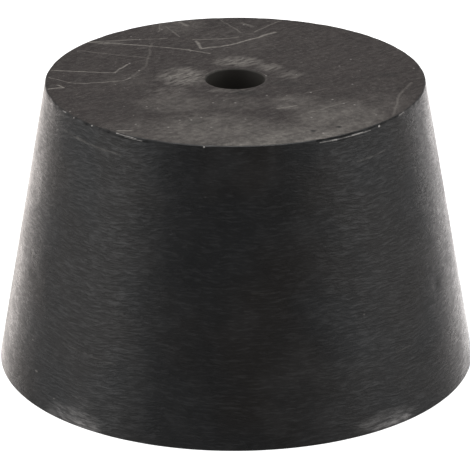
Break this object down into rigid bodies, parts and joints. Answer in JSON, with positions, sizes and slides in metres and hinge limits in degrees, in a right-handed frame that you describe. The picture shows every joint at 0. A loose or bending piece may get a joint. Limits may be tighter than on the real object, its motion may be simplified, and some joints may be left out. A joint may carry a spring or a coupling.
{
  "type": "rubber stopper",
  "caption": "Tapered laboratory rubber stopper with a straight hole along its axis. It plugs the neck of a flask or jar and grips a glass tube, rod or thermometer.",
  "frame": {"origin": "centre of the large end face, on the axis of the hole; the part stands on that face", "axes": "+Z runs along the axis of the hole from the large end to the small end; X and Y are any two square directions across it, because the part is round"},
  "size_m": [0.041, 0.041, 0.025],
  "materials": {
    "rubber": "black filled rubber, matt to satin, ground all round, with scuffed end faces"
  },
  "bodies": {
    "root": {"stopper": "rubber"}
  },
  "joints": []
}
